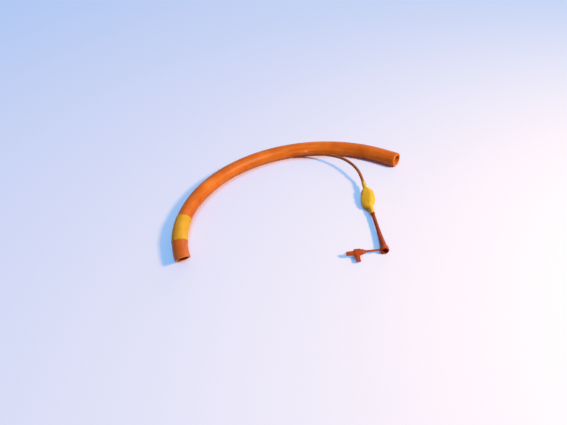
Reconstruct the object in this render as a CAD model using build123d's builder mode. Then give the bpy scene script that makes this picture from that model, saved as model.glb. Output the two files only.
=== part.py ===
"""A cuffed rubber endotracheal tube, curved and bevelled, lying flat with its pilot balloon beside it.

Millimetres, +Z up, the table at Z = 0. The origin is under the middle of the curved tube, and +X points
out of its machine end. The tube bends in one level plane, round an upright axis.
"""

from build123d import *
from math import cos, degrees, pi, radians, sin, sqrt, tan
import os

# The main tube
tube_od = 12.0
tube_id = 8.0
tip_od = 11.3  # past the taper
taper_from_tip = 86.0
taper_length = 32.0
bend_radius = 100.4
bend_angle = 149.55
bend_x = 46.2
bend_y = -6.6
machine_straight = 14.0  # the straight end that takes a connector
bevel_angle = 48.5  # between the cut and the tube's axis, with the opening turned down
end_rounding = 1.3  # of the machine end, outside
mouth_rounding = 0.4  # of the machine end, inside
tip_rounding = 0.5
tip_allowance = 2.0  # beyond the bevel, and cut off by it

# The cuff, let down on the tube
cuff_from_tip = 16.0
cuff_length = 29.3
cuff_wall = 0.35
cuff_edge_rounding = 0.25
cuff_band = 4.0  # bonded at each end
cuff_pocket = 0.1  # the slack under the sleeve between the bands

# The inflation channel in the tube's wall, and the boss where the line leaves it
channel_bore = 0.8
channel_port = 1.3
channel_drop = 1.2  # below the tube's axis
channel_rise = 9.0  # over which it leaves the wall for the boss
exit_from_machine_end = 87.0
exit_boss_diameter = 3.3
exit_boss_root = 1.5  # its diameter where it sinks into the wall
exit_boss_length = 16.0
line_gap = 0.2  # between the line and the tube's wall at the exit

# The inflation line
line_od = 2.4
line_id = 1.0
corner_share = 0.45  # of the shorter run at a corner, taken up by its arc

# The pilot balloon, where the line goes into it and which way it points
balloon_x = 53.4
balloon_y = 51.1
balloon_heading = -48.2
balloon_height = 5.6
balloon_wall = 0.5
balloon_top_neck = 9.0
balloon_length = 38.0
balloon_low_neck = 4.5
line_insertion = 6.0
line_approach = 4.8  # straight before the balloon's neck

# The bag between the necks: how far past the top neck, half its width and its thickness, its sag to one
# side and its axis's height
balloon_bag = [
    (1.4, 3.2, 2.6, -0.1, 5.3),
    (3.4, 4.7, 2.9, -0.1, 4.8),
    (7.0, 5.3, 2.9, 0.0, 4.1),
    (11.5, 5.4, 2.9, -0.1, 3.6),
    (16.0, 5.2, 2.9, -0.5, 3.3),
    (19.8, 4.4, 2.7, -0.9, 3.15),
    (22.6, 2.8, 2.2, -0.4, 3.0),
]

# The filling tube, from the balloon's lower neck to its mouth
filling_top_od = 2.8
filling_mouth_od = 4.9
filling_top_id = 1.4
filling_mouth_id = 3.6
filling_land = 4.0  # straight outside, under the stopper's ring
filling_seat = 6.0  # straight inside, for a syringe
filling_shank = 17.0  # straight outside, at the balloon
filling_length = 46.8
mouth_chamfer = 0.3

# The stopper on its strap
ring_od = 5.9
ring_width = 3.0
ring_setback = 0.5
strap_width = 1.7
strap_thickness = 1.1
strap_length = 10.0
strap_rounding = 0.5
shoulder_width = 4.0
shoulder_thickness = 3.5
shoulder_rounding = 1.5
shoulder_length = 1.2  # from the strap's end to the head
shoulder_sunk = 0.4  # into the head
plug_offset = 16.8  # from the mouth's axis to the head
plug_lift = 1.1  # of the head over the table
plug_forward = 0.85  # of the head towards the mouth, from the strap
plug_head_diameter = 5.0
plug_head_length = 4.4
peg_diameter = 3.3
peg_tip_diameter = 2.9
peg_length = 5.4
peg_lift = 0.2  # of the peg's axis over the head's
peg_forward = 0.5  # of the peg's axis past the head's
tab_rounding = 0.68

# The pull tab, sloping to the table: how far along it, how far past the head's near face, its height, width
# and thickness
tab_slope = [
    (0.0, 1.9, 3.1, 3.1, 2.55),
    (4.2, 2.2, 2.7, 2.85, 1.87),
    (7.6, 2.4, 2.4, 3.1, 1.7),
]

# Values that follow from them
tube_radius = tube_od / 2
tip_radius = tip_od / 2
axis_height = tube_radius
wall_middle = (tip_od + tube_id) / 4  # of the thinner wall
tip_angle = 90 + bend_angle
bend_axis = Axis((bend_x, bend_y, 0), (0, 0, 1))


def turn(length):
    """The angle in degrees that a length takes along the tube's axis."""
    return degrees(length / bend_radius)


def station(angle):
    """The plane square to the tube at an angle round the bend: X outwards, Y down, Z towards the tip."""
    outwards = Vector(cos(radians(angle)), sin(radians(angle)), 0)
    centre = Vector(bend_x, bend_y, axis_height) + outwards * bend_radius
    return Plane(centre, x_dir=outwards, z_dir=Vector(0, 0, 1).cross(outwards))


# Where the line leaves the tube
exit_angle = 90 + turn(exit_from_machine_end - machine_straight)
exit_offset = tube_radius + line_gap + line_od / 2
exit_point = station(exit_angle).from_local_coords(Vector(-exit_offset, channel_drop, 0))

# The rig is the balloon, the filling tube and the stopper: X along them from the line, Y across, Z up
rig_direction = Vector(cos(radians(balloon_heading)), sin(radians(balloon_heading)), 0)
rig = Plane((balloon_x, balloon_y, 0), x_dir=rig_direction, z_dir=(0, 0, 1))
ring_radius = ring_od / 2
filling_start = balloon_length - balloon_low_neck
mouth_at = filling_start + filling_length


def across(along, side, height):
    """The plane square to the rig's run at a place on it."""
    place = rig.from_local_coords(Vector(along, side, height))
    return Plane(place, x_dir=rig.y_dir, z_dir=rig.x_dir)


def lengthwise(along, height):
    """The upright plane through the rig's run: X along it, Y up."""
    return Plane(rig.from_local_coords(Vector(along, 0, height)), x_dir=rig.x_dir, z_dir=-rig.y_dir)


# The line's route, as it lies: out of the boss, in a low arch and down to the balloon
line_points = [
    exit_point,
    Vector(-9.6, 66.9, 4.95),
    Vector(-0.5, 69.8, 5.8),
    Vector(10.4, 70.9, 7.0),
    Vector(21.5, 70.6, 7.5),
    Vector(32.0, 67.3, 6.6),
    Vector(41.4, 61.1, 5.9),
    rig.from_local_coords(Vector(-line_approach, 0, balloon_height)),
    rig.from_local_coords(Vector(line_insertion, 0, balloon_height)),
]
exit_direction = line_points[1] - exit_point


def route_radii(points):
    """A bend radius for each corner, as large as its two runs allow."""
    radii = []
    for before, corner, after in zip(points, points[1:], points[2:]):
        arriving, leaving = corner - before, after - corner
        shorter = min(arriving.length, leaving.length)
        radii.append(corner_share * shorter / tan(radians(arriving.get_angle(leaving) / 2)))
    return radii


os.makedirs("parts", exist_ok=True)

# Main tube: a straight seat, the bend, the bevelled tip, the exit boss and the channel in the wall
taper_start_angle = tip_angle - turn(taper_from_tip)
taper_end_angle = taper_start_angle + turn(taper_length)
uncut_tip_angle = tip_angle + turn(tip_radius / tan(radians(bevel_angle)) + tip_allowance)
tip_outwards = station(tip_angle).z_dir
bevel_normal = tip_outwards * sin(radians(bevel_angle)) - Vector(0, 0, cos(radians(bevel_angle)))
bevel_plane = Plane(station(tip_angle).origin, x_dir=station(tip_angle).x_dir, z_dir=bevel_normal)
boss_root_angle = exit_angle + turn(exit_boss_length)
channel_side = -sqrt(wall_middle**2 - channel_drop**2)
channel_ring = bend_radius + channel_side
cuff_middle_angle = tip_angle - turn(cuff_from_tip + cuff_length / 2)
channel_turn = exit_angle + turn(channel_rise) - cuff_middle_angle

with BuildPart() as main_tube:
    with BuildLine(Plane.XY.offset(axis_height)) as taper_run:
        CenterArc((bend_x, bend_y), bend_radius, taper_start_angle, turn(taper_length))
    with BuildSketch(station(taper_start_angle)):
        Circle(tube_radius)
    with BuildSketch(station(taper_end_angle)) as narrow_section:
        Circle(tip_radius)
    sweep(path=taper_run.line, multisection=True)
    revolve(narrow_section.sketch, axis=bend_axis, revolution_arc=uncut_tip_angle - taper_end_angle)
    with BuildSketch(station(90)) as tube_section:
        Circle(tube_radius)
    extrude(amount=-machine_straight)
    revolve(tube_section.sketch, axis=bend_axis, revolution_arc=taper_start_angle - 90)
    with BuildSketch(station(90)) as bore_section:
        Circle(tube_id / 2)
    extrude(amount=-machine_straight, mode=Mode.SUBTRACT)
    revolve(bore_section.sketch, axis=bend_axis, revolution_arc=uncut_tip_angle - 90, mode=Mode.SUBTRACT)
    with BuildSketch(Plane(exit_point, z_dir=exit_direction)):
        Circle(exit_boss_diameter / 2)
    with BuildSketch(station(boss_root_angle)):
        with Locations((channel_side, channel_drop)):
            Circle(exit_boss_root / 2)
    loft()
    split(bisect_by=bevel_plane, keep=Keep.BOTTOM)
    machine_edges = main_tube.edges().group_by(Axis.X)[-1].sort_by(SortBy.RADIUS)
    fillet(machine_edges[0], mouth_rounding)
    fillet(machine_edges[-1], end_rounding)
    fillet(main_tube.faces().filter_by(GeomType.PLANE).sort_by(Axis.Y)[0].edges(), tip_rounding)
    # the channel runs in the wall, from a port under the cuff to the boss's face
    with BuildLine(Plane.XY.offset(axis_height - channel_drop)) as channel_route:
        ring = CenterArc((bend_x, bend_y), channel_ring, cuff_middle_angle, channel_turn)
        rise = TangentArc(ring @ 1, (exit_point.X, exit_point.Y), tangent=ring % 1)
        Line(rise @ 1, rise @ 1 + (rise % 1) * channel_bore)
    with BuildSketch(Plane(channel_route.line @ 0, z_dir=channel_route.line % 0)):
        Circle(channel_bore / 2)
    sweep(path=channel_route.line, mode=Mode.SUBTRACT)
    port_station = station(cuff_middle_angle - turn(channel_port))
    port_start = port_station.from_local_coords(Vector(channel_side, channel_drop, 0))
    with BuildSketch(Plane(port_start, z_dir=-port_station.x_dir)):
        Circle(channel_port / 2)
    extrude(amount=tube_radius, mode=Mode.SUBTRACT)
main_tube.part.label = "main_tube"
export_step(main_tube.part, "parts/main_tube.step")

# Cuff: a thin sleeve, bonded in a band at each end and slack between them
cuff_start_angle = tip_angle - turn(cuff_from_tip + cuff_length)

with BuildPart() as cuff:
    with BuildSketch(station(cuff_start_angle)):
        Circle(tip_radius + cuff_wall)
        Circle(tip_radius, mode=Mode.SUBTRACT)
    revolve(axis=bend_axis, revolution_arc=turn(cuff_length))
    end_faces = cuff.faces().filter_by(GeomType.PLANE)
    fillet([face.outer_wire().edge() for face in end_faces], cuff_edge_rounding)
    with BuildSketch(station(cuff_start_angle + turn(cuff_band))):
        Circle(tip_radius + cuff_pocket)
        Circle(tip_radius, mode=Mode.SUBTRACT)
    revolve(
        axis=bend_axis,
        revolution_arc=turn(cuff_length - 2 * cuff_band),
        mode=Mode.SUBTRACT,
    )
cuff.part.label = "cuff"
export_step(cuff.part, "parts/cuff.step")

# Inflation line: a plain hose along its route, bonded in the boss and in the balloon's neck
with BuildPart() as inflation_line:
    with BuildLine() as line_route:
        FilletPolyline(*line_points, radius=route_radii(line_points))
    with BuildSketch(Plane(line_route.line @ 0, z_dir=line_route.line % 0)):
        Circle(line_od / 2)
        Circle(line_id / 2, mode=Mode.SUBTRACT)
    sweep(path=line_route.line)
inflation_line.part.label = "inflation_line"
export_step(inflation_line.part, "parts/inflation_line.step")

# Pilot balloon: a soft flat bag that sags a little to one side between its two necks
filling_radius = filling_top_od / 2
top_neck_radius = line_od / 2 + balloon_wall
low_neck_radius = filling_radius + balloon_wall
low_neck_start = balloon_length - balloon_low_neck
balloon_rings = [
    (0, top_neck_radius, top_neck_radius, 0, balloon_height),
    *balloon_bag,
    (low_neck_start - balloon_top_neck, low_neck_radius, low_neck_radius, 0, ring_radius),
]

with BuildPart() as pilot_balloon:
    for past, half_width, half_thickness, side, height in balloon_rings:
        with BuildSketch(across(balloon_top_neck + past, side, height)):
            Ellipse(half_width, half_thickness)
    loft()
    for past, half_width, half_thickness, side, height in balloon_rings:
        with BuildSketch(across(balloon_top_neck + past, side, height)):
            Ellipse(half_width - balloon_wall, half_thickness - balloon_wall)
    loft(mode=Mode.SUBTRACT)
    with BuildSketch(across(0, 0, balloon_height)):
        Circle(top_neck_radius)
        Circle(line_od / 2, mode=Mode.SUBTRACT)
    extrude(amount=balloon_top_neck)
    with BuildSketch(across(low_neck_start, 0, ring_radius)):
        Circle(low_neck_radius)
        Circle(filling_radius, mode=Mode.SUBTRACT)
    extrude(amount=balloon_low_neck)
pilot_balloon.part.label = "pilot_balloon"
export_step(pilot_balloon.part, "parts/pilot_balloon.step")

# Filling tube: a slim trumpet, straight inside its mouth for a syringe
filling_plane = lengthwise(filling_start, ring_radius)
filling_axis = Axis(filling_plane.origin, rig.x_dir)
mouth_radius = filling_mouth_od / 2
seat_radius = filling_mouth_id / 2

with BuildPart() as filling_tube:
    with BuildSketch(filling_plane):
        with BuildLine():
            shank = Line((0, filling_radius), (filling_shank, filling_radius))
            flare = TangentArc(shank @ 1, (filling_length - filling_land, mouth_radius), tangent=(1, 0))
            land = Line(flare @ 1, (filling_length, mouth_radius))
            rim = Line(land @ 1, (filling_length, seat_radius))
            seat = Line(rim @ 1, (filling_length - filling_seat, seat_radius))
            throat = Line((0, filling_top_id / 2), (filling_shank, filling_top_id / 2))
            TangentArc(throat @ 1, seat @ 1, tangent=(1, 0))
            Line(throat @ 0, shank @ 0)
        make_face()
    revolve(axis=filling_axis)
    mouth_rim = filling_tube.edges().filter_by(GeomType.CIRCLE).sort_by(
        lambda edge: rig.to_local_coords(edge.center()).X
    )[-2:]
    chamfer(mouth_rim.sort_by(SortBy.RADIUS)[0], mouth_chamfer)
filling_tube.part.label = "filling_tube"
export_step(filling_tube.part, "parts/filling_tube.step")

# Stopper: a ring round the mouth, a strap, and a plug with a pull tab, moulded in one
ring_start = mouth_at - ring_setback - ring_width
strap_along = ring_start + ring_width / 2
plug_height = plug_lift + plug_head_diameter / 2
peg_height = plug_height + peg_lift
plug_along = strap_along + plug_forward
peg_along = plug_along + peg_forward
shoulder_side = -plug_offset + shoulder_length
head_end_side = -plug_offset - plug_head_length


def beside(side, along, height):
    """The plane square to the strap's run, which goes sideways from the ring."""
    place = rig.from_local_coords(Vector(along, side, height))
    return Plane(place, x_dir=rig.x_dir, z_dir=-rig.y_dir)


with BuildPart() as stopper:
    with BuildSketch(across(ring_start, 0, ring_radius)):
        Circle(ring_radius)
    extrude(amount=ring_width)
    with BuildSketch(beside(-mouth_radius, strap_along, ring_radius)):
        RectangleRounded(strap_width, strap_thickness, strap_rounding)
    extrude(amount=strap_length)
    with BuildSketch(beside(-mouth_radius - strap_length, strap_along, ring_radius)):
        RectangleRounded(strap_width, strap_thickness, strap_rounding)
    with BuildSketch(beside(shoulder_side, plug_along, plug_height)) as shoulder:
        RectangleRounded(shoulder_width, shoulder_thickness, shoulder_rounding)
    loft()
    extrude(shoulder.sketch, amount=shoulder_length + shoulder_sunk)
    with BuildSketch(beside(-plug_offset, plug_along, plug_height)):
        Circle(plug_head_diameter / 2)
    extrude(amount=plug_head_length)
    with BuildSketch(beside(head_end_side, peg_along, peg_height)):
        Circle(peg_diameter / 2)
    with BuildSketch(beside(head_end_side - peg_length, peg_along, peg_height)):
        Circle(peg_tip_diameter / 2)
    loft()
    with BuildSketch(across(ring_start, 0, ring_radius)):
        Circle(mouth_radius)
    extrude(amount=ring_width, mode=Mode.SUBTRACT)
    for along, past, height, width, thickness in tab_slope:
        with BuildSketch(across(plug_along + along, -plug_offset - past, height)):
            RectangleRounded(width, thickness, tab_rounding)
    loft()
stopper.part.label = "stopper"
export_step(stopper.part, "parts/stopper.step")

route_length = sum(edge.length for edge in line_route.edges())
line_section = pi * (line_od**2 - line_id**2) / 4
print("line radii", [round(radius, 1) for radius in route_radii(line_points)])
print("line length", round(route_length, 2))
print("line volume", round(inflation_line.part.volume, 2))
print("section by length", round(line_section * route_length, 2))
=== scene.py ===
"""A cuffed rubber endotracheal tube, with its inflation line, pilot balloon, filling tube and stopper."""

from math import copysign, cos, exp, pi, radians, sin, tan

import bpy
from mathutils import Matrix, Vector, noise


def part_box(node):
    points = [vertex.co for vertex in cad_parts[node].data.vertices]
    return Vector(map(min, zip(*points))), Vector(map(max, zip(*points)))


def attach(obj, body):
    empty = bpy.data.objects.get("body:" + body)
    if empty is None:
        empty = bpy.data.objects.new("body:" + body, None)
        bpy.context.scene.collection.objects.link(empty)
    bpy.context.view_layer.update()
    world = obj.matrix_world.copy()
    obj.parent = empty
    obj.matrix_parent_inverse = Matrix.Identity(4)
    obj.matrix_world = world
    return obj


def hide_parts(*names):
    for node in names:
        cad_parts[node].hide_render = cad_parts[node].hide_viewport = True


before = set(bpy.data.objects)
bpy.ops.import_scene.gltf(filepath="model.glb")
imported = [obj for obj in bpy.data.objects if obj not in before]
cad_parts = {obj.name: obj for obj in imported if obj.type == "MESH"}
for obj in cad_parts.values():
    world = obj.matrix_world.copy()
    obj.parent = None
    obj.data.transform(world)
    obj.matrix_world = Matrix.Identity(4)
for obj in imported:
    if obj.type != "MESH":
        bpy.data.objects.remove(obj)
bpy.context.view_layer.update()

MM = 0.001
UP = Vector((0, 0, 1))
LEAST_HEIGHT = 0.02 * MM  # of the latex skins over the table

# Camera
CAMERA_AT = Vector((0.23126, -0.24299, 0.24045))
CAMERA_AZIMUTH = radians(42.32)  # looks along +Y at 0 and along -X at 90 degrees
CAMERA_DOWN = radians(37.14)
CAMERA_ROLL = radians(-6.65)
CAMERA_LENS = 32.457  # millimetres, as is the sensor's width
CAMERA_SENSOR = 36
CAMERA_NEAREST = 0.005

camera_data = bpy.data.cameras.new("camera")
camera_data.lens = CAMERA_LENS
camera_data.sensor_width = CAMERA_SENSOR
camera_data.clip_start = CAMERA_NEAREST
camera = bpy.data.objects.new("camera", camera_data)
camera.matrix_world = (
    Matrix.Translation(CAMERA_AT)
    @ Matrix.Rotation(CAMERA_AZIMUTH, 4, "Z")
    @ Matrix.Rotation(pi / 2 - CAMERA_DOWN, 4, "X")
    @ Matrix.Rotation(CAMERA_ROLL, 4, "Z")
)
bpy.context.scene.collection.objects.link(camera)
bpy.context.scene.camera = camera

# Lamps: each gives the floor at the origin its share of a plain white light, by colour
KEY_AT = Vector((0.62, 0.115, 0.47))
KEY_SIZE = 0.13
KEY_SHARE = (0.70, 0.67, 0.64)
RIM_AT = Vector((-0.63, 1.81, 0.58))
RIM_SIZE = 1.3
RIM_SHARE = (0.045, 0.045, 0.05)


def lamp(name, place, size, share):
    """A disk of light turned to the origin, with power that makes up for its distance and its slant."""
    strength = max(share)
    data = bpy.data.lights.new(name, "AREA")
    data.shape = "DISK"
    data.size = size
    data.energy = strength * pi**2 * place.length**3 / place.z
    data.color = [part / strength for part in share]
    obj = bpy.data.objects.new(name, data)
    obj.location = place
    obj.rotation_euler = place.to_track_quat("Z", "Y").to_euler()
    bpy.context.scene.collection.objects.link(obj)


lamp("key", KEY_AT, KEY_SIZE, KEY_SHARE)
lamp("rim", RIM_AT, RIM_SIZE, RIM_SHARE)


class Nodes:
    """A short way to build a node tree: new(type, inputs, settings)."""

    def __init__(self, tree):
        self.tree = tree
        tree.nodes.clear()

    def new(self, kind, inputs=None, **settings):
        node = self.tree.nodes.new(kind)
        for key, value in settings.items():
            setattr(node, key, value)
        for key, value in (inputs or {}).items():
            if isinstance(value, bpy.types.NodeSocket):
                self.tree.links.new(value, node.inputs[key])
            else:
                node.inputs[key].default_value = value
        return node

    def ramp(self, factor, stops):
        """A colour ramp over (place, colour) stops."""
        node = self.new("ShaderNodeValToRGB", {0: factor})
        elements = node.color_ramp.elements
        while len(elements) < len(stops):
            elements.new(0.5)
        for element, (place, colour) in zip(elements, stops):
            element.position = place
            element.color = (*colour, 1)
        return node.outputs["Color"]

    def noise(self, coordinates, size, detail, roughness):
        """Noise whose features are about this size in metres."""
        inputs = {"Vector": coordinates, "Scale": 1 / size, "Detail": detail, "Roughness": roughness}
        return self.new("ShaderNodeTexNoise", inputs).outputs[0]

    def math(self, operation, a, b):
        return self.new("ShaderNodeMath", {0: a, 1: b}, operation=operation).outputs[0]

    def mix(self, a, share_a, b, share_b):
        """The sum of two values, each times its share."""
        return self.math("ADD", self.math("MULTIPLY", a, share_a), self.math("MULTIPLY", b, share_b))

    def stretch(self, vector, factors):
        node = self.new("ShaderNodeVectorMath", {0: vector, 1: factors}, operation="MULTIPLY")
        return node.outputs[0]

    def along(self, vector, direction):
        """How far a vector reaches along a direction."""
        node = self.new("ShaderNodeVectorMath", {0: vector, 1: direction}, operation="DOT_PRODUCT")
        return node.outputs["Value"]

    def blend(self, factor, first, second):
        """The first shader at 0 and the second at 1."""
        return self.new("ShaderNodeMixShader", {0: factor, 1: first, 2: second}).outputs[0]

    def seen(self):
        """1 for what is seen, also in a reflection or through glass, and 0 for what lights the object."""
        path = self.new("ShaderNodeLightPath").outputs
        mirrored = self.math("MAXIMUM", path["Is Glossy Ray"], path["Is Transmission Ray"])
        return self.math("MAXIMUM", path["Is Camera Ray"], mirrored)


# World: a soft light, fuller from above on the right than from below on the left, and a pale backdrop
BACKDROP_COLOUR = (0.72, 0.74, 0.90)
SOFT_FROM = Vector((0.60, 0.50, 0.62))
SOFT_LEAST = (0.10, 0.10, 0.11)
SOFT_MOST = (0.42, 0.42, 0.45)

world = bpy.data.worlds.new("studio")
world.use_nodes = True
bpy.context.scene.world = world
sky = Nodes(world.node_tree)
view = sky.new("ShaderNodeTexCoord").outputs["Generated"]
facing = sky.math("ADD", sky.math("MULTIPLY", sky.along(view, SOFT_FROM), 0.5), 0.5)
soft_colour = sky.ramp(facing, [(0, SOFT_LEAST), (1, SOFT_MOST)])
lighting = sky.new("ShaderNodeBackground", {"Color": soft_colour}).outputs[0]
backdrop = sky.new("ShaderNodeBackground", {"Color": (*BACKDROP_COLOUR, 1)}).outputs[0]
sky.new("ShaderNodeOutputWorld", {0: sky.blend(sky.seen(), lighting, backdrop)})
bpy.context.scene.view_settings.view_transform = "Standard"

# Floor: pale, with a glow of its own for the camera that leaves its shadows light blue, and with painted
# shade and a painted warm bounce close round what stands on it
FLOOR_HALF = 3.0
FLOOR_LIT = (0.69, 0.38, 0.09)  # the part that the lamps light
FLOOR_GLOW = (0.09, 0.40, 0.85)
FLOOR_BOUNCE = (0.50, 0.49, 0.49)  # what it gives back to the object
FAR_FROM_KEY = (1.12, 1.06, 1.0)  # these even out the key light's falloff over the floor
NEAR_TO_KEY = (0.82, 0.91, 1.0)
EVENED = 0.3  # how far they reach, on both sides of the origin
PAINTED_CONTACT_BOUNCE = (0.85, 0.66, 0.62)  # pink, a painted warm bounce off the rubber, where something stands close between the floor and the key light
# painted contact shade: there the floor's glow falls to near black
PAINTED_CONTACT_SHADE = (0.02, 0.0, 0.03)
CREVICE_REACH = 9 * MM
CREVICE_SAMPLES = 16
CREVICE_FULL = 0.40  # how open the floor is where it has these colours
CREVICE_NONE = 0.62

corners = [(x * FLOOR_HALF, y * FLOOR_HALF, 0) for x, y in ((-1, -1), (1, -1), (1, 1), (-1, 1))]
floor_mesh = bpy.data.meshes.new("floor")
floor_mesh.from_pydata(corners, [], [(0, 1, 2, 3)])
floor = bpy.data.objects.new("floor", floor_mesh)
bpy.context.scene.collection.objects.link(floor)
floor_material = bpy.data.materials.new("floor")
floor_material.use_nodes = True
paper = Nodes(floor_material.node_tree)
to_key = KEY_AT.normalized()
openness = paper.new(
    "ShaderNodeAmbientOcclusion", {"Distance": CREVICE_REACH, "Normal": to_key}, samples=CREVICE_SAMPLES
).outputs["AO"]
# Close by things on the floor, towards the key light, its colours turn to the painted bounce and the painted
# shade
lit_colour = paper.ramp(openness, [(CREVICE_FULL, PAINTED_CONTACT_BOUNCE), (CREVICE_NONE, FLOOR_LIT)])
glow_colour = paper.ramp(openness, [(CREVICE_FULL, PAINTED_CONTACT_SHADE), (CREVICE_NONE, FLOOR_GLOW)])
place = paper.new("ShaderNodeTexCoord").outputs["Object"]
nearness = paper.math("ADD", paper.along(place, to_key / (2 * EVENED)), 0.5)
evening = paper.ramp(nearness, [(0, FAR_FROM_KEY), (1, NEAR_TO_KEY)])
bounce = paper.new("ShaderNodeBsdfDiffuse", {"Color": (*FLOOR_BOUNCE, 1)}).outputs[0]
lit = paper.new("ShaderNodeBsdfDiffuse", {"Color": paper.stretch(lit_colour, evening)}).outputs[0]
glow = paper.new("ShaderNodeEmission", {"Color": glow_colour}).outputs[0]
shown = paper.new("ShaderNodeAddShader", {0: lit, 1: glow}).outputs[0]
paper.new("ShaderNodeOutputMaterial", {0: paper.blend(paper.seen(), bounce, shown)})
floor_mesh.materials.append(floor_material)

# The bend: the tube's axis runs in a level plane round an upright axis
tube_low, tube_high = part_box("main_tube")
TUBE_RADIUS = (tube_high.z - tube_low.z) / 2
AXIS_HEIGHT = (tube_high.z + tube_low.z) / 2
TIP_RADIUS = 5.65 * MM
TAPER_FROM_TIP = 86.0 * MM
TAPER_LENGTH = 32.0 * MM
BORE_RADIUS = 4.0 * MM
BEND_RADIUS = 100.4 * MM
BEND_ANGLE = radians(149.55)

bend_reach = BEND_RADIUS + TUBE_RADIUS
bend_centre = Vector((tube_low.x + bend_reach, tube_high.y - bend_reach, AXIS_HEIGHT))
straight = tube_high.x - bend_centre.x
tip_at = straight + BEND_RADIUS * BEND_ANGLE
taper_at = tip_at - TAPER_FROM_TIP


def tube_axis(s):
    """Where the tube's axis is at a length s from the machine end, and the way outwards from the bend."""
    if s < straight:
        return bend_centre + Vector((straight - s, BEND_RADIUS, 0)), Vector((0, 1, 0))
    angle = pi / 2 + (s - straight) / BEND_RADIUS
    outwards = Vector((cos(angle), sin(angle), 0))
    return bend_centre + BEND_RADIUS * outwards, outwards


def on_tube(s, radius, angle):
    """A place at a radius from the tube's axis. Angle 0 is outwards, 90 degrees is up."""
    centre, outwards = tube_axis(s)
    return centre + radius * (cos(angle) * outwards + sin(angle) * UP)


def stands_for(obj, node):
    """Let a piece ride on the only body, in place of a solid of the frame."""
    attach(obj, "root")
    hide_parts(node)


# Inflation line
LINE_RADIUS = 1.2 * MM
LINE_GAP = 0.2 * MM  # between it and the tube's wall, where it leaves
LINE_APPROACH = 4.8 * MM  # straight before the balloon's neck
LINE_INSERTION = 6.0 * MM
EXIT_FROM_END = 87.0 * MM
EXIT_ANGLE = radians(181.5)  # round the tube, on the inside of the bend
BALLOON_AT = Vector((53.4, 51.1, 0)) * MM
BALLOON_HEIGHT = 5.6 * MM
RIG_HEADING = radians(-48.2)

exit_point = on_tube(EXIT_FROM_END, TUBE_RADIUS + LINE_GAP + LINE_RADIUS, EXIT_ANGLE)
rig_along = Vector((cos(RIG_HEADING), sin(RIG_HEADING), 0))
rig_side = UP.cross(rig_along)


def rig(along, side=0.0, height=0.0):
    """A place given along the balloon, filling tube and stopper from where the line meets them."""
    return BALLOON_AT + rig_along * along + rig_side * side + UP * height


line_points = [
    exit_point,
    Vector((-9.5, 66.7, 5.8)) * MM,
    Vector((0.1, 69.2, 6.8)) * MM,
    Vector((11.4, 69.8, 8.4)) * MM,
    Vector((22.7, 68.8, 9.6)) * MM,
    Vector((34.1, 65.3, 9.4)) * MM,
    Vector((43.8, 59.8, 8.6)) * MM,
    rig(-LINE_APPROACH, 0, BALLOON_HEIGHT),
    rig(LINE_INSERTION, 0, BALLOON_HEIGHT),
]

HOSE_ORDER = 3  # of its curve
HOSE_STEPS = 24  # from one control point to the next
HOSE_ROUNDNESS = 10


def hose(name, points, radius):
    """A round hose on a smooth curve with these control points."""
    data = bpy.data.curves.new(name, "CURVE")
    data.dimensions = "3D"
    spline = data.splines.new("NURBS")
    spline.points.add(len(points) - 1)
    for point, place in zip(spline.points, points):
        point.co = (*place, 1)
        point.radius = radius  # of the hose in metres, so the curve's own box is the hose's
    spline.order_u = HOSE_ORDER
    spline.use_endpoint_u = True
    spline.resolution_u = HOSE_STEPS
    data.bevel_depth = 1
    data.bevel_resolution = HOSE_ROUNDNESS
    data.use_fill_caps = True
    obj = bpy.data.objects.new(name, data)
    bpy.context.scene.collection.objects.link(obj)
    return obj


line = hose("line_hose", line_points, LINE_RADIUS)
stands_for(line, "inflation_line")


# Skins: smooth meshes over rows of points
def middle(row):
    return sum(row, Vector()) / len(row)


def skin(name, rows, wrap=False):
    """A smooth mesh over closed rows. wrap joins the last row to the first; otherwise both ends are filled.

    Its "lie" attribute holds each point's place round the skin and along it, for grain that follows it.
    """
    around = len(rows[0])
    points = [point for row in rows for point in row]
    faces = []
    for i in range(len(rows) if wrap else len(rows) - 1):
        here, there = i * around, (i + 1) % len(rows) * around
        for j in range(around):
            k = (j + 1) % around
            faces.append((here + j, here + k, there + k, there + j))
    if not wrap:
        faces.append(tuple(reversed(range(around))))
        faces.append(tuple((len(rows) - 1) * around + j for j in range(around)))
    mesh = bpy.data.meshes.new(name)
    mesh.from_pydata([tuple(point) for point in points], [], faces)
    lie = mesh.attributes.new("lie", "FLOAT_VECTOR", "POINT")
    run = 0.0
    before = middle(rows[0])
    for i, row in enumerate(rows):
        here = middle(row)
        run += (here - before).length
        before = here
        girth = (row[0] - here).length
        for j in range(around):
            angle = 2 * pi * j / around
            lie.data[i * around + j].vector = (girth * cos(angle), girth * sin(angle), run)
    mesh.validate()
    mesh.shade_smooth()
    obj = bpy.data.objects.new(name, mesh)
    bpy.context.scene.collection.objects.link(obj)
    return obj


def rounding(radius, steps):
    """Places round a quarter circle: (how far from its start, how far in from its side)."""
    for i in range(steps + 1):
        angle = pi / 2 * i / steps
        yield radius * sin(angle), radius * (1 - cos(angle))


def spread(start, end, step):
    """Even places from start to end, about this step apart."""
    count = max(1, round(abs(end - start) / step))
    return [start + (end - start) * i / count for i in range(count + 1)]


def smoothstep(value):
    value = min(1.0, max(0.0, value))
    return value * value * (3 - 2 * value)


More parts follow.
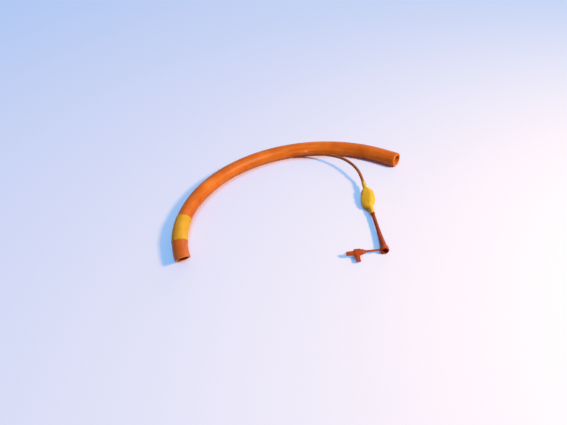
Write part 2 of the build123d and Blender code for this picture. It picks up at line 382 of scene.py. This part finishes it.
# Main tube
END_ROUNDING = 1.1 * MM
END_LENGTH = 6 * MM  # of the machine end, which has finer rows
MOUTH_ROUNDING = 0.3 * MM
TIP_ROUNDING = 0.5 * MM
TIP_LIP = 0.25 * MM  # rounding inside the tip's rim
BEVEL_TILT = 1 / tan(radians(48.5))
BEVEL_BLEND = 26 * MM  # over which the rows lean into the bevel
BOSS_LENGTH = 16.0 * MM
BOSS_REACH = 2.35 * MM  # beyond the wall, at the exit
BOSS_HALF_WIDTH = 1.6 * MM
BOSS_ROOT_HALF_WIDTH = 1.1 * MM
BOSS_FACE = 6.0 * MM  # over which it drops at the exit
BOSS_FACE_MARGIN = 0.2 * BOSS_FACE  # with the finest rows too, on both sides of the face
BOSS_SINKING = 1.4  # the power of its fall to the root: above 1 it is lower
BOSS_CROWN = 2.4  # the power across it: above 2 its top is flatter and its sides are steeper
TUBE_WOBBLE = 0.03 * MM
WOBBLE_SIZE = 11.0 * MM
AROUND_TUBE = 128


def tube_radius(s):
    narrowing = min(1.0, max(0.0, (s - taper_at) / TAPER_LENGTH))
    return TUBE_RADIUS + (TIP_RADIUS - TUBE_RADIUS) * narrowing


def boss(s, angle):
    """How far the boss, where the line leaves, stands out of the wall."""
    past = s - EXIT_FROM_END  # the exit, towards the tip
    if past > BOSS_LENGTH or past < -BOSS_FACE:
        return 0.0
    back = past / BOSS_LENGTH
    rise = smoothstep(past / BOSS_FACE + 1) * (1 - smoothstep(back)) ** BOSS_SINKING
    half = BOSS_ROOT_HALF_WIDTH + (BOSS_HALF_WIDTH - BOSS_ROOT_HALF_WIDTH) * (1 - max(0.0, back))
    off = (angle - EXIT_ANGLE) * TUBE_RADIUS / half
    return BOSS_REACH * rise * exp(-abs(off) ** BOSS_CROWN)


def tube_row(s, radius, tilt, outside):
    """A closed row round the tube. tilt 0 is square to the axis and 1 lies in the bevel."""
    row = []
    for i in range(AROUND_TUBE):
        angle = 2 * pi * i / AROUND_TUBE
        here = s + tilt * BEVEL_TILT * radius * sin(angle)
        extra = TUBE_WOBBLE * noise.noise(on_tube(here, radius, angle) / WOBBLE_SIZE)
        if outside:
            extra += boss(here, angle)
        row.append(on_tube(here, radius + extra, angle))
    return row


def bevel_tilt(s):
    return smoothstep((s - tip_at + BEVEL_BLEND) / BEVEL_BLEND)


def tube_stations(step, fine, finest):
    """Places along the tube, closer together at the ends and at the boss."""
    boss_start = EXIT_FROM_END - BOSS_FACE - BOSS_FACE_MARGIN
    boss_top = EXIT_FROM_END + BOSS_FACE_MARGIN
    boss_end = EXIT_FROM_END + BOSS_LENGTH
    bevel_start = tip_at - BEVEL_BLEND
    bevel_end = tip_at - TIP_ROUNDING
    marks = [
        (END_ROUNDING, END_LENGTH, fine),
        (END_LENGTH, boss_start, step),
        (boss_start, boss_top, finest),
        (boss_top, boss_end, fine),
        (boss_end, bevel_start, step),
        (bevel_start, bevel_end, 2 * fine),
    ]
    places = []
    for start, end, gap in marks:
        places += spread(start, end, gap)[:-1]
    return places + [bevel_end]


def tube_rows():
    """From the machine end over the outside to the tip, and back through the bore."""
    rows = []
    for along, inwards in rounding(END_ROUNDING, steps=8):
        rows.append(tube_row(END_ROUNDING - along, TUBE_RADIUS - inwards, 0, True))
    rows.reverse()
    for s in tube_stations(step=1.3 * MM, fine=0.5 * MM, finest=0.15 * MM)[1:]:
        rows.append(tube_row(s, tube_radius(s), bevel_tilt(s), True))
    for along, inwards in rounding(TIP_ROUNDING, steps=5):
        rows.append(tube_row(tip_at - TIP_ROUNDING + along, TIP_RADIUS - inwards, 1, True))
    for radius in spread(TIP_RADIUS - TIP_ROUNDING, BORE_RADIUS + TIP_LIP, step=0.3 * MM)[1:-1]:
        rows.append(tube_row(tip_at, radius, 1, False))
    for along, inwards in rounding(TIP_LIP, steps=3):
        rows.append(tube_row(tip_at - inwards, BORE_RADIUS + TIP_LIP - along, 1, False))
    for s in reversed(tube_stations(step=3 * MM, fine=1 * MM, finest=1 * MM)[:-1]):
        rows.append(tube_row(s, BORE_RADIUS, bevel_tilt(s), False))
    for along, inwards in rounding(MOUTH_ROUNDING, steps=4):
        rows.append(tube_row(MOUTH_ROUNDING - along, BORE_RADIUS + inwards, 0, False))
    return rows


tube = skin("tube_body", tube_rows(), wrap=True)
stands_for(tube, "main_tube")

# Cuff: a let-down sleeve, its ends cut a little aslant
CUFF_FROM_TIP = 16.0 * MM
CUFF_LENGTH = 29.3 * MM
CUFF_WALL = 0.33 * MM
CUFF_EDGE = 0.25 * MM
CUFF_BAND = 4.0 * MM
CUFF_SLACK = 0.03 * MM  # how far it stands off between its bands, on average
CUFF_SLACK_RUN = 3.5 * MM  # over which the slack grows
CUFF_SLACK_START = 0.3  # how far it has grown at the bands' edges
CUFF_FOLD = 0.035 * MM
CUFF_FOLDS_AROUND = 2.6
CUFF_FOLD_RUN = 15 * MM
CUFF_FINE_FOLD = 0.45  # of the folds' height
CUFF_FINE_FOLDS = 2.6  # times as many
CUFF_INSIDE = 0.04 * MM  # between its inside and the tube
CUFF_START_SLANT = 1.4 * MM  # how far the top of each end is ahead of its sides
CUFF_END_SLANT = 3.0 * MM
AROUND_CUFF = 160


def cuff_row(share, s, radius, slack):
    """A closed row of the cuff. share is 0 at its start and 1 at its end."""
    slant = CUFF_START_SLANT + (CUFF_END_SLANT - CUFF_START_SLANT) * share
    row = []
    for i in range(AROUND_CUFF):
        angle = 2 * pi * i / AROUND_CUFF
        here = s + slant * (sin(angle) - 1)
        on_folds = Vector((CUFF_FOLDS_AROUND * cos(angle), CUFF_FOLDS_AROUND * sin(angle), s / CUFF_FOLD_RUN))
        folds = noise.noise(on_folds) + CUFF_FINE_FOLD * noise.noise(on_folds * CUFF_FINE_FOLDS)
        place = on_tube(here, radius + slack * (CUFF_SLACK + CUFF_FOLD * folds), angle)
        place.z = max(place.z, LEAST_HEIGHT)
        row.append(place)
    return row


def cuff_rows():
    """From its start over the outside to its end, and back along the tube."""
    start = tip_at - CUFF_FROM_TIP - CUFF_LENGTH
    end = tip_at - CUFF_FROM_TIP
    radius = TIP_RADIUS + CUFF_WALL
    rows = []
    for along, inwards in rounding(CUFF_EDGE, steps=4):
        rows.append(cuff_row(0, start + CUFF_EDGE - along, radius - inwards, 0))
    rows.reverse()
    for s in spread(start + CUFF_EDGE, end - CUFF_EDGE, step=0.5 * MM)[1:]:
        inside_bands = min(s - start, end - s) - CUFF_BAND
        slack = smoothstep(inside_bands / CUFF_SLACK_RUN + CUFF_SLACK_START)
        rows.append(cuff_row((s - start) / CUFF_LENGTH, s, radius, slack))
    for along, inwards in rounding(CUFF_EDGE, steps=4):
        rows.append(cuff_row(1, end - CUFF_EDGE + along, radius - inwards, 0))
    for s in spread(end, start, step=1.5 * MM):
        rows.append(cuff_row((s - start) / CUFF_LENGTH, s, TIP_RADIUS + CUFF_INSIDE, 0))
    return rows


cuff = skin("cuff_sleeve", cuff_rows(), wrap=True)
stands_for(cuff, "cuff")

# Pilot balloon: a soft flat bag with a faint ridge along it, between two necks
BALLOON_WALL = 0.5 * MM
BALLOON_LENGTH = 38.0 * MM
TOP_NECK = 9.0 * MM
LOW_NECK = 4.5 * MM
FILLING_TOP_RADIUS = 1.4 * MM
FILLING_HEIGHT = 2.95 * MM  # of its axis, where the stopper's ring lies on the table
NECK_LIP = 0.2 * MM
NECK_FOLDS = 0.25  # of the bag's folds
NECK_FOLD_RUN = 4 * MM  # over which they grow to the bag's
BAG_FOLDS = [(0.07, 2.0, 8 * MM), (0.03, 5.0, 5 * MM)]  # height as a share, folds around, length
RIDGE_POWER = 0.22
AROUND_BALLOON = 96

# Each neck's skin is tucked in round what it holds: how far in, and its radius as a share of the held one
TOP_TUCK = [(1.5 * MM, 1.01), (0.1 * MM, 1.02), (0, 1.1)]
LOW_TUCK = [(0, 1.05), (1.5 * MM, 1.01)]

# Past the top neck: half its width and its thickness, its sag to one side, its axis's height, how far its
# ridge lies to the other side and how sharp it is, in millimetres but for the last
BALLOON_RINGS = [
    (0.0, 1.7, 1.7, 0.0, 5.6, 0.0, 0.0),
    (1.4, 3.4, 2.6, 0.3, 5.3, 0.3, 0.3),
    (3.4, 4.8, 2.9, 0.5, 4.8, 1.0, 0.7),
    (7.0, 5.3, 2.9, 0.3, 4.1, 1.9, 1.0),
    (11.5, 5.4, 2.9, -0.2, 3.6, 2.0, 1.0),
    (16.0, 5.0, 2.9, -0.8, 3.3, 1.6, 1.0),
    (19.2, 3.9, 2.7, -1.3, 3.15, 0.9, 0.8),
    (22.0, 2.2, 2.1, -0.5, 3.0, 0.3, 0.4),
    (24.5, 1.9, 1.9, 0.0, 2.95, 0.0, 0.0),
]


def blend_rings(past):
    """The bag's measures at a place along it, on smooth curves through its rings."""
    last = len(BALLOON_RINGS) - 1
    i = 0
    while i < last - 1 and past > BALLOON_RINGS[i + 1][0]:
        i += 1
    before, start, end, after = (BALLOON_RINGS[min(max(i + k, 0), last)] for k in (-1, 0, 1, 2))
    gap = end[0] - start[0]
    t = min(1.0, max(0.0, (past - start[0]) / gap))
    values = []
    for k in range(1, len(start)):
        leaving = (end[k] - before[k]) / (end[0] - before[0]) * gap if i else 0.0
        arriving = (after[k] - start[k]) / (after[0] - start[0]) * gap if i < last - 1 else 0.0
        values.append(
            (2 * t**3 - 3 * t**2 + 1) * start[k] + (t**3 - 2 * t**2 + t) * leaving
            + (3 * t**2 - 2 * t**3) * end[k] + (t**3 - t**2) * arriving
        )
    return values


def power_of(value, power):
    return copysign(abs(value) ** power, value)


def balloon_row(along, half_width, half_thickness, side, height, ridge=0.0, sharpness=0.0, folds=0.0):
    """A closed row round the balloon. sharpness 0 is an ellipse, 1 is nearly a rhombus."""
    power = 1 + RIDGE_POWER * sharpness
    row = []
    for i in range(AROUND_BALLOON):
        angle = 2 * pi * i / AROUND_BALLOON
        reach = 1
        for share, around, length in BAG_FOLDS:
            on_folds = Vector((around * cos(angle), around * sin(angle), along / length))
            reach += folds * share * noise.noise(on_folds)
        across = power_of(cos(angle), power) * reach
        upward = power_of(sin(angle), power) * reach
        lean = ridge * upward * (1 - abs(across))
        place = rig(along, side - half_width * across + lean, height + half_thickness * upward)
        place.z = max(place.z, LEAST_HEIGHT)
        row.append(place)
    return row


def neck_row(along, radius, height, folds=0.0):
    return balloon_row(along, radius, radius, 0, height, folds=folds)


def balloon_rows():
    """From inside the top neck over the bag into the lower neck."""
    top_radius = LINE_RADIUS + BALLOON_WALL
    low_radius = FILLING_TOP_RADIUS + BALLOON_WALL
    bag_end = BALLOON_LENGTH - LOW_NECK
    rows = []
    for inside, share in TOP_TUCK:
        rows.append(neck_row(inside, LINE_RADIUS * share, BALLOON_HEIGHT))
    for along, inwards in reversed(list(rounding(NECK_LIP, steps=3))):
        rows.append(neck_row(NECK_LIP - along, top_radius - inwards, BALLOON_HEIGHT))
    for along in spread(NECK_LIP, TOP_NECK, step=0.6 * MM)[1:-1]:
        rows.append(neck_row(along, top_radius, BALLOON_HEIGHT, NECK_FOLDS))
    for along in spread(TOP_NECK, bag_end, step=0.3 * MM):
        *measures, sharpness = blend_rings((along - TOP_NECK) / MM)
        from_neck = min(along - TOP_NECK, bag_end - along)
        folds = NECK_FOLDS + (1 - NECK_FOLDS) * smoothstep(from_neck / NECK_FOLD_RUN)
        rows.append(balloon_row(along, *(value * MM for value in measures), sharpness, folds))
    for along in spread(bag_end, BALLOON_LENGTH - NECK_LIP, step=0.6 * MM)[1:-1]:
        rows.append(neck_row(along, low_radius, FILLING_HEIGHT, NECK_FOLDS))
    for along, inwards in rounding(NECK_LIP, steps=3):
        rows.append(neck_row(BALLOON_LENGTH - NECK_LIP + along, low_radius - inwards, FILLING_HEIGHT))
    for inside, share in LOW_TUCK:
        rows.append(neck_row(BALLOON_LENGTH - inside, FILLING_TOP_RADIUS * share, FILLING_HEIGHT))
    return rows


balloon = skin("balloon_bag", balloon_rows())
stands_for(balloon, "pilot_balloon")

# Filling tube and stopper: the solids themselves, the stopper softened as one moulding
STOPPER_VOXEL = 0.12 * MM
SOFTENING = 3

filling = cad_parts["filling_tube"]
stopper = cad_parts["stopper"]
voxels = stopper.modifiers.new("one_moulding", "REMESH")
voxels.mode = "VOXEL"
voxels.voxel_size = STOPPER_VOXEL
voxels.use_smooth_shade = True
soften = stopper.modifiers.new("soft_corners", "SMOOTH")
soften.iterations = SOFTENING

# Materials: rubber has blotches in three tones, dark to light, with streaks and a fine grain over them
TONE_PLACES = (0.36, 0.5, 0.66)
BLOTCH_SHARE = 0.55  # of the tone, and the rest is streaks
STREAK_SIZE = 0.12  # as a share of the blotches' size
STREAK_DRAW = 0.06  # how fast a streak changes along a skin, as a share of its change round it
STREAK_DULLNESS = 0.16  # how much the roughness changes over the streaks
STREAK_RELIEF = 0.8
GRAIN_RELIEF = 0.5
RELIEF_STRENGTH = 0.6
LATEX_DEPTH = (2.0, 1.2, 0.4)  # how far red, green and blue light goes under the skin, in millimetres


def rubber(name, tones, roughness, gloss, blotch, grain, relief, lengthwise=False, subsurface=0.0):
    """A rubber with blotches, grain and relief of these sizes. lengthwise draws its streaks along a skin."""
    material = bpy.data.materials.new(name)
    material.use_nodes = True
    nodes = Nodes(material.node_tree)
    if lengthwise:
        place = nodes.new("ShaderNodeAttribute", attribute_name="lie").outputs["Vector"]
    else:
        place = nodes.new("ShaderNodeTexCoord").outputs["Object"]
    blotches = nodes.noise(place, blotch, detail=3, roughness=0.55)
    drawn = nodes.stretch(place, (1, 1, STREAK_DRAW if lengthwise else 1))
    streaks = nodes.noise(drawn, blotch * STREAK_SIZE, detail=5, roughness=0.6)
    fine = nodes.noise(place, grain, detail=6, roughness=0.65)
    tone = nodes.mix(blotches, BLOTCH_SHARE, streaks, 1 - BLOTCH_SHARE)
    dullness = nodes.math(
        "ADD", roughness - STREAK_DULLNESS / 2, nodes.math("MULTIPLY", streaks, STREAK_DULLNESS)
    )
    height = nodes.mix(fine, GRAIN_RELIEF, streaks, STREAK_RELIEF)
    bumps = nodes.new("ShaderNodeBump", {"Height": height, "Distance": relief, "Strength": RELIEF_STRENGTH})
    shader = nodes.new(
        "ShaderNodeBsdfPrincipled",
        {
            "Base Color": nodes.ramp(tone, list(zip(TONE_PLACES, tones))),
            "Roughness": dullness,
            "Normal": bumps.outputs[0],
            "Specular IOR Level": gloss,
            "Subsurface Weight": subsurface,
            "Subsurface Radius": LATEX_DEPTH,
            "Subsurface Scale": MM,
        },
    )
    nodes.new("ShaderNodeOutputMaterial", {0: shader.outputs[0]})
    return material


ORANGE = ((0.46, 0.082, 0.004), (0.605, 0.128, 0.009), (0.72, 0.185, 0.022))
YELLOW = ((0.60, 0.33, 0.011), (0.66, 0.375, 0.018), (0.71, 0.42, 0.028))
OCHRE = ((0.61, 0.28, 0.008), (0.68, 0.32, 0.013), (0.73, 0.365, 0.020))
BROWN = ((0.28, 0.064, 0.012), (0.35, 0.084, 0.016), (0.42, 0.11, 0.024))
DARK_RED = ((0.19, 0.017, 0.002), (0.28, 0.032, 0.004), (0.39, 0.058, 0.009))
RUST = ((0.30, 0.036, 0.004), (0.38, 0.053, 0.007), (0.46, 0.075, 0.011))

TUBE_SIZES = {"blotch": 22 * MM, "grain": 0.5 * MM, "relief": 0.04 * MM, "lengthwise": True}
LATEX_SIZES = {"blotch": 12 * MM, "grain": 0.4 * MM, "relief": 0.03 * MM, "lengthwise": True}
LINE_SIZES = {"blotch": 10 * MM, "grain": 0.4 * MM, "relief": 0.03 * MM}
FILLING_SIZES = {"blotch": 8 * MM, "grain": 0.4 * MM, "relief": 0.04 * MM}
STOPPER_SIZES = {"blotch": 5 * MM, "grain": 0.4 * MM, "relief": 0.04 * MM}

for obj, material in (
    (tube, rubber("orange_rubber", ORANGE, roughness=0.42, gloss=0.13, **TUBE_SIZES)),
    (cuff, rubber("ochre_latex", OCHRE, roughness=0.46, gloss=0.15, subsurface=0.15, **LATEX_SIZES)),
    (balloon, rubber("yellow_latex", YELLOW, roughness=0.46, gloss=0.15, subsurface=0.15, **LATEX_SIZES)),
    (line, rubber("brown_rubber", BROWN, roughness=0.38, gloss=0.15, **LINE_SIZES)),
    (filling, rubber("dark_rubber", DARK_RED, roughness=0.36, gloss=0.1, **FILLING_SIZES)),
    (stopper, rubber("rust_rubber", RUST, roughness=0.34, gloss=0.15, **STOPPER_SIZES)),
):
    obj.data.materials.clear()
    obj.data.materials.append(material)

bpy.context.view_layer.update()
